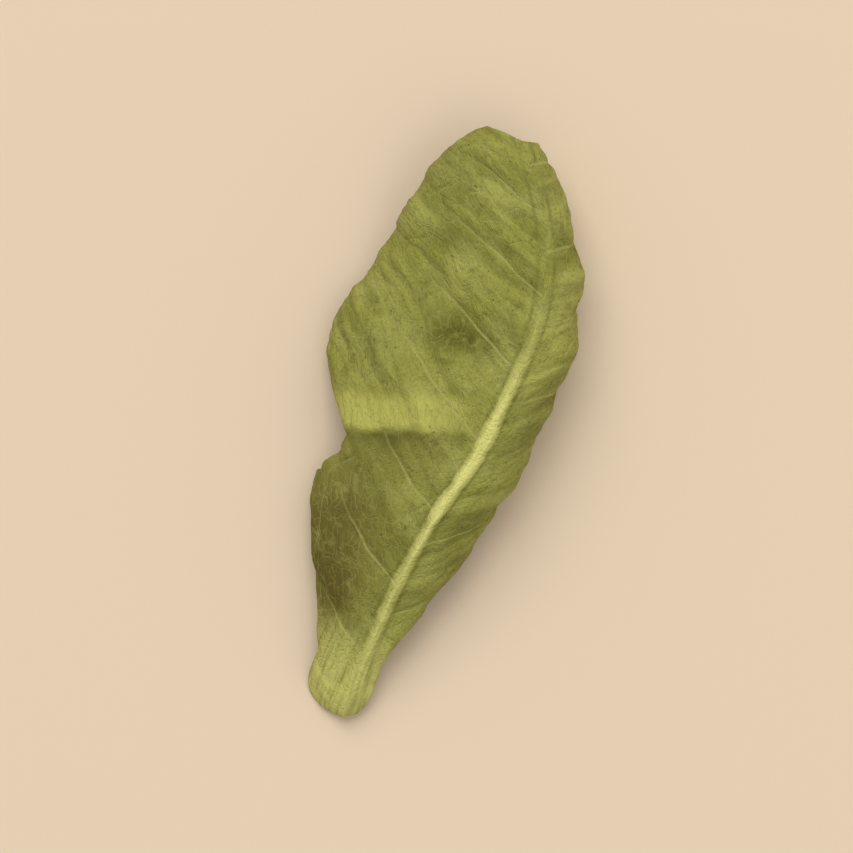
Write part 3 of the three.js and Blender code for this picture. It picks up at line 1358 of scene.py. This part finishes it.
@dataclass
class Leaflet:
    """The whole leaf: one closed shell of two faces on a grid of rows and columns, joined round the rim.

    Its pitch and roll turn it to the lie of the solid, and centre is the place that comes over the origin.
    """

    midrib: Midrib = field(default_factory=Midrib)
    outline: Outline = field(default_factory=Outline)
    section: CrossSection = field(default_factory=CrossSection)
    folds: Folds = field(default_factory=Folds)
    veins: Veins = field(default_factory=Veins)
    crinkles: Crinkles = field(default_factory=Crinkles)
    tissue: Tissue = field(default_factory=Tissue)
    patches: Patches = field(default_factory=Patches)
    finish: LeafFinish = field(default_factory=LeafFinish)
    layout: BakeLayout = field(default_factory=BakeLayout)
    edge_noise: SmoothNoise = field(default_factory=lambda: SmoothNoise(11))
    warp_noise: SmoothNoise = field(default_factory=lambda: SmoothNoise(45))
    warp: float = 0.3
    warp_pitch: float = 0.9
    grain_stretch: float = 0.28
    grain_seats: Seats = (0.0, 40.0)
    fibre_across: float = 5
    fibre_along: float = 0.35
    rows: int = 326
    half_columns: int = 74
    crowding: float = 0.35
    pitch: float = math.radians(-0.09)
    roll: float = math.radians(0.82)
    centre: tuple[float, float] = (-0.13, 12.39)
    press: float = 0.03
    even_rounds: int = 12
    rim_rounds: int = 60

    @cached_property
    def points(self) -> BladePoints:
        """The grid that all surfaces share. Its columns crowd at the midrib and at the edge, by a sine.

        Returns:
            Its points.
        """
        x = np.arange(-self.half_columns, self.half_columns + 1) / self.half_columns
        crowded = np.abs(x) - self.crowding * np.sin(TAU * np.abs(x)) / TAU
        t, share = np.meshgrid(np.arange(self.rows + 1) / self.rows, crowded, indexing="ij")
        left, length = np.broadcast_to(x < 0, t.shape), self.midrib.length
        width = self.outline.dried_width(t, left, length, self.edge_noise)
        out = share * width
        return BladePoints(length, t, share, left, width, out, self.outline.along(t, out, left, length))

    @cached_property
    def vein_start(self) -> Array:
        """Where on the midrib a side vein through each point leaves it."""
        return self.veins.start(self.points)

    @cached_property
    def net_distance(self) -> Array:
        """Distance to the net of small veins."""
        return self.veins.small_net(self.points)

    @cached_property
    def numbering(self) -> Integers:
        """Numbers of the upper face's vertices on the grid. The underside's follow them in the same order."""
        return np.arange(self.points.y.size).reshape(self.points.y.shape)

    @cached_property
    def rim(self) -> Integers:
        """Numbers of the upper face's vertices round the rim, turning with the face."""
        grid = self.numbering
        return np.concatenate([grid[0, :-1], grid[:-1, -1], grid[-1, :0:-1], grid[:0:-1, 0]])

    def middle(self) -> Array:
        """The middle surface: the cross-sections set on the midrib, with the pleat and dimple added.

        Returns:
            Its points.
        """
        at = self.points
        lift = self.veins.quilt(at) + self.crinkles.edge_wave(at)
        lift = lift + self.crinkles.lift(at, self.vein_start)
        aside, height = self.section.place(at, lift)
        pleat = np.where(at.left, self.folds.pleat(at), 0)
        height = height + self.folds.pleat_height * pleat - np.where(at.left, self.folds.dimple(at), 0)
        surface = self.midrib.line(at.y) + height[..., None] * self.midrib.up(at.y)
        surface[..., 0] += aside
        # The crest leans over its steep side.
        surface[..., 1] -= self.folds.pleat_lean * pleat**2
        return surface

    @staticmethod
    def normals(points: Array) -> Array:
        """Unit normals of a grid: the cross product of the steps across and along it."""
        across, along = np.gradient(points, axis=1), np.gradient(points, axis=0)
        return unit(np.cross(across, along))

    @staticmethod
    def evened(ways: Array, rounds: int) -> Array:
        """Evens the directions on a grid, so that the faces that stand off along them don't cut each other.

        Each round takes a quarter of the neighbour on each side and half of the direction itself, along
        the columns and then along the rows.

        Args:
            ways: the directions.
            rounds: how many times they are evened.

        Returns:
            Unit directions.
        """
        for _ in range(rounds):
            for axis in (0, 1):
                ends = [(int(a == axis), int(a == axis)) for a in range(3)]
                padded = np.moveaxis(np.pad(ways, ends, mode="edge"), axis, 0)
                mean = 0.25 * padded[:-2] + 0.5 * padded[1:-1] + 0.25 * padded[2:]
                ways = np.moveaxis(mean, 0, axis)
        return unit(ways)

    def stand_off(self, face: Face) -> Array:
        """How far a face stands off the middle surface.

        It is half the blade's thickness, thinner at the rim, with the midrib and the stalk added. Veins
        are grooves in the upper face and ridges on the underside, and the blade bulges up between the
        small ones.

        Args:
            face: the upper face or the underside.

        Returns:
            The distances, all above 0.
        """
        skin, at = self.tissue, self.points
        whole = self.outline.stalk_round(at.t)
        away = blended(skin.rim, skin.blade, rise(at.edge, 0, skin.rim_reach))
        away = away * blended(skin.stalk_end, 1, whole)
        rib, stalk = skin.rib(at) * whole, bell(at.t / skin.stalk_reach) * whole
        away = away + skin.stalk_fullness * stalk * np.sqrt(np.maximum(0, 1 - at.share**2))
        away = away + skin.fibres(at) * np.maximum(stalk, skin.fibre_on_rib * rib)
        fade = rise(at.out, skin.relief_start, skin.relief_full)
        vein = np.maximum(self.veins.side_veins(at), self.veins.loops(at)) * fade
        net = bell(self.net_distance / self.veins.net_width) * fade
        if face is Face.UNDER:
            return away + skin.rib_below * rib + skin.vein_ridge * vein + skin.net_ridge * net
        groove = skin.rib_groove * bell((at.out - skin.groove_at) / skin.groove_width) * (1 - at.t)
        between = skin.pucker * (1 - bell(self.net_distance / skin.pucker_reach))
        bulge = between * rise(at.edge, 0, skin.pucker_edge) * fade
        sunk = np.minimum(skin.vein_groove * vein + skin.net_groove * net + groove, skin.deepest * away)
        return away + skin.rib_above * rib + bulge - sunk

    def laid(self, points: Array) -> Array:
        """Turns points to the lie of the solid and lowers them until the lowest are pressed flat.

        Args:
            points: points as the midrib's formula places them.

        Returns:
            The points on the table, with the leaf's middle over the origin.
        """
        turn = np.array(Euler((self.pitch, self.roll, 0)).to_matrix())
        lain = points @ turn.T - np.array([*self.centre, 0])
        lain[..., 2] = np.maximum(0, lain[..., 2] - lain[..., 2].min() - self.press)
        return lain

    def vertices(self) -> Array:
        """All vertices: the upper face, the underside, and the middle of the rim, a little further out.

        Returns:
            Their points, numbered in that order.
        """
        middle = self.middle()
        normal = self.evened(self.normals(middle), self.even_rounds)
        upper = (middle + self.stand_off(Face.UPPER)[..., None] * normal).reshape(-1, 3)
        under = (middle - self.stand_off(Face.UNDER)[..., None] * normal).reshape(-1, 3)
        top, low = upper[self.rim], under[self.rim]
        ahead = np.roll(top, -1, axis=0) - np.roll(top, 1, axis=0)
        outward = unit(np.cross(ahead, top - low))
        outward = self.evened(outward[None], self.rim_rounds)[0]
        thick = np.linalg.norm(top - low, axis=-1, keepdims=True)
        edge = 0.5 * (top + low) + self.tissue.rim_round * thick * outward
        return self.laid(np.concatenate([upper, under, edge]))

    def triangles(self) -> tuple[Integers, Integers]:
        """Corners of the triangles, and which part of the shell each one is on.

        The two faces are split alike, and each stretch of the rim is two strips.

        Returns:
            The triangles' corners, and the value of each one's Face.
        """
        grid, size = self.numbering, self.numbering.size
        a, b, c, d = grid[:-1, :-1], grid[:-1, 1:], grid[1:, 1:], grid[1:, :-1]
        upper = np.concatenate([np.stack([a, b, c], -1), np.stack([a, c, d], -1)]).reshape(-1, 3)
        p, q = self.rim, np.roll(self.rim, -1)
        m = 2 * size + np.arange(p.size)
        n = np.roll(m, -1)
        strips = [(q, p, m), (q, m, n), (n, m, p + size), (n, p + size, q + size)]
        rim = np.concatenate([np.stack(strip, -1) for strip in strips])
        parts = {Face.UPPER: upper, Face.UNDER: upper[:, ::-1] + size, Face.RIM: rim}
        kinds = np.repeat([face.value for face in parts], [len(part) for part in parts.values()])
        return np.concatenate(list(parts.values())), kinds

    def number_fields(self) -> dict[str, Array]:
        """The numbers that the material reads.

        Returns:
            Their values on the grid, by name.
        """
        at, veins = self.points, self.veins
        # Where there is no room for loops, their line is moved out of reach.
        hidden = veins.loop_hidden * (1 - veins.room(at))
        return {
            "phase": veins.wandered(at),
            "apart": veins.apart(at),
            "past_loop": veins.past_loop(at) + hidden,
            "share": at.share,
            "out": at.out,
            "along": at.y / at.length,
            "net": self.net_distance,
            # The wrinkles' heights, which the material turns into painted shade in their hollows.
            "relief": self.crinkles.wrinkles(at, self.vein_start),
            "margin": at.edge,
            "past_crest": self.folds.past_crest(at),
            # Strength of the crease's painted light and shade.
            "crest": self.folds.light_and_shade(at),
            **self.patches.fields(at),
        }

    def place_fields(self) -> dict[str, Array]:
        """The places that the material's patterns follow.

        They are the blade laid flat, flat along its side veins, flat with its lines bent by noise, and
        stretched along the midrib.

        Returns:
            Their values on the grid, by name.
        """
        at, start = self.points, self.vein_start
        level = np.zeros_like(at.y)
        bent = self.warp * self.warp_noise.layers(at.aside / self.warp_pitch, at.y / self.warp_pitch)
        places = {
            "flat": (at.aside, at.y, level),
            "grain": (self.grain_stretch * at.out, start, at.seated(self.grain_seats)),
            "warped": (at.aside + bent, start - bent, level),
            "fibre": (self.fibre_across * at.aside, self.fibre_along * at.y, level),
        }
        return {name: np.stack(place, -1) for name, place in places.items()}

    def spread(self, values: Array) -> Array:
        """A grid's values for every vertex: those of the upper face, of the underside and of the rim."""
        rows = values.reshape(self.numbering.size, -1)
        return np.concatenate([rows, rows, rows[self.rim]]).astype(np.float32).ravel()

    def bake_map(self, corners: Integers, kinds: Integers) -> Array:
        """Places of the triangles' corners on a flat picture: the upper face, the rim and the underside.

        Each face is the blade laid flat, in its own half of the picture, and the rim is a narrow strip
        up the middle.

        Args:
            corners: the triangles' corners.
            kinds: the value of each triangle's Face.

        Returns:
            Two coordinates from 0 to 1 for each corner.
        """
        layout, size = self.layout, self.numbering.size
        aside, y = self.points.aside.ravel(), self.points.y.ravel()
        across = layout.margin + layout.face_width * (aside - aside.min()) / np.ptp(aside)
        flat = np.stack([across, layout.up((y - y.min()) / np.ptp(y))], -1)
        grid_of = np.concatenate([np.arange(size), np.arange(size), self.rim])
        places = flat[grid_of[corners]]
        places[kinds == Face.UNDER.value, :, 0] += layout.under_shift
        turn = np.zeros(size)
        turn[self.rim] = layout.up(np.arange(self.rim.size) / self.rim.size)
        strip = kinds == Face.RIM.value
        which = corners[strip]
        level = np.where(which < 2 * size, layout.strip_under, layout.strip_middle)
        level = np.where(which < size, layout.strip_upper, level)
        height = turn[grid_of[which]]
        # The last stretch runs to the top of the strip, not back to its foot.
        wraps = np.ptp(height, axis=1) > 0.5
        height[wraps] = np.where(height[wraps] < 0.5, layout.up(1), height[wraps])
        places[strip] = np.stack([level, height], -1)
        return places

    def mesh(self) -> bpy.types.Mesh:
        """Makes the leaf's mesh, with its attributes, bake map and material.

        Returns:
            The mesh.
        """
        vertices, (corners, kinds) = self.vertices() * MM, self.triangles()
        mesh = bpy.data.meshes.new("moringa_leaflet")
        mesh.vertices.add(len(vertices))
        mesh.vertices.foreach_set("co", vertices.astype(np.float32).ravel())
        mesh.loops.add(corners.size)
        mesh.loops.foreach_set("vertex_index", corners.astype(np.int32).ravel())
        mesh.polygons.add(len(corners))
        mesh.polygons.foreach_set("loop_start", np.arange(0, corners.size, 3, dtype=np.int32))
        mesh.polygons.foreach_set("use_smooth", np.ones(len(corners), dtype=bool))
        mesh.update(calc_edges=True)
        numbers, places = self.number_fields(), self.place_fields()
        for name, values in numbers.items():
            mesh.attributes.new(name, "FLOAT", "POINT").data.foreach_set("value", self.spread(values))
        for name, values in places.items():
            mesh.attributes.new(name, "FLOAT_VECTOR", "POINT").data.foreach_set("vector", self.spread(values))
        size = self.numbering.size
        # 0 on the upper face, 1 on the underside and 0.5 on the rim.
        sides = np.repeat(np.array([0, 1, 0.5], dtype=np.float32), [size, size, self.rim.size])
        mesh.attributes.new("under", "FLOAT", "POINT").data.foreach_set("value", sides)
        layer = mesh.uv_layers.new(name="OFBake", do_init=False)
        layer.uv.foreach_set("vector", self.bake_map(corners, kinds).astype(np.float32).ravel())
        mesh.validate()
        mesh.materials.append(self.finish.material([*numbers, "under"], [*places]))
        return mesh

    def build(self) -> bpy.types.Object:
        """Makes the leaf's object.

        Returns:
            The object.
        """
        piece = bpy.data.objects.new("moringa_leaflet", self.mesh())
        bpy.context.scene.collection.objects.link(piece)
        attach(piece, "root")
        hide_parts("leaf")
        return piece


@dataclass(frozen=True)
class Lamp:
    """A square lamp that faces the leaf.

    Attributes:
        name: its name.
        azimuth: its direction, turned to the left from the top of the picture.
        elevation: its angle above the floor.
        power: its power in watts.
        size: its side.
        distance: how far it is from the leaf.
    """

    name: str
    azimuth: float
    elevation: float
    power: float
    size: float
    distance: float = 1200

    def build(self, turn: float) -> None:
        """Adds the lamp.

        Args:
            turn: how far the top of the picture is turned from +Y.
        """
        data = bpy.data.lights.new(self.name, "AREA")
        data.energy = self.power
        data.size = self.size * MM
        lamp = bpy.data.objects.new(self.name, data)
        bpy.context.scene.collection.objects.link(lamp)
        heading, flat = turn + self.azimuth, math.cos(self.elevation)
        way = Vector((-math.sin(heading) * flat, math.cos(heading) * flat, math.sin(self.elevation)))
        lamp.location = way * self.distance * MM
        lamp.rotation_euler = way.to_track_quat("Z", "Y").to_euler()


@dataclass
class Studio:
    """The plain floor, the soft lights and the camera that looks straight down.

    The camera's sight is how near and how far it sees.
    """

    floor_half: float = 1500
    turn: float = math.radians(16.5)
    share_of_frame: float = 0.72
    lens: float = 240
    sensor: float = 36
    sight: tuple[float, float] = (10, 10000)
    world_strength: float = 0.45
    lamps: tuple[Lamp, ...] = (
        Lamp("key", math.radians(12), math.radians(52), 9.5, 1000),
        Lamp("fill", math.radians(-120), math.radians(40), 3.6, 1500),
    )
    finish: FloorFinish = field(default_factory=FloorFinish)

    def floor(self) -> bpy.types.Object:
        """Makes the floor: one square at height 0.

        Returns:
            The floor.
        """
        half = self.floor_half * MM
        mesh = bpy.data.meshes.new("floor")
        corners = [(-half, -half, 0), (half, -half, 0), (half, half, 0), (-half, half, 0)]
        mesh.from_pydata(corners, [], [(0, 1, 2, 3)])
        mesh.materials.append(self.finish.material())
        floor = bpy.data.objects.new("floor", mesh)
        bpy.context.scene.collection.objects.link(floor)
        return floor

    def lights(self) -> None:
        """Adds the lamps and an even white world, and shows colours as they are, with no film look."""
        for lamp in self.lamps:
            lamp.build(self.turn)
        world = bpy.data.worlds.new("soft_white")
        world.use_nodes = True
        world.node_tree.nodes["Background"].inputs["Color"].default_value = (1, 1, 1, 1)
        world.node_tree.nodes["Background"].inputs["Strength"].default_value = self.world_strength
        bpy.context.scene.world = world
        bpy.context.scene.view_settings.view_transform = "Standard"

    def camera(self, low: Vector, high: Vector) -> None:
        """Adds the camera straight above the middle of a box, turned so that the leaf leans to the right.

        The distance is that at which the box's length fills its share of the frame.

        Args:
            low: the box's lowest corner.
            high: the box's highest corner.
        """
        data = bpy.data.cameras.new("camera")
        data.lens = self.lens
        data.sensor_width = self.sensor
        data.clip_start, data.clip_end = (reach * MM for reach in self.sight)
        camera = bpy.data.objects.new("camera", data)
        bpy.context.scene.collection.objects.link(camera)
        distance = (high.y - low.y) / self.share_of_frame * self.lens / self.sensor
        camera.location = (low + high) / 2 + Vector((0, 0, distance))
        camera.rotation_euler = (0, 0, self.turn)
        bpy.context.scene.camera = camera


def main() -> None:
    """Loads the frame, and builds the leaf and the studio."""
    logging.basicConfig(level=logging.INFO, format="%(name)s: %(message)s")
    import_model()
    low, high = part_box("leaf")
    piece = Leaflet().build()
    LOG.info("%s has %d triangles", piece.name, len(piece.data.polygons))
    studio = Studio()
    floor = studio.floor()
    studio.lights()
    studio.camera(low, high)
    LOG.info("%s, %d lamps and the camera are done", floor.name, len(studio.lamps))


if __name__ == "__main__":
    main()
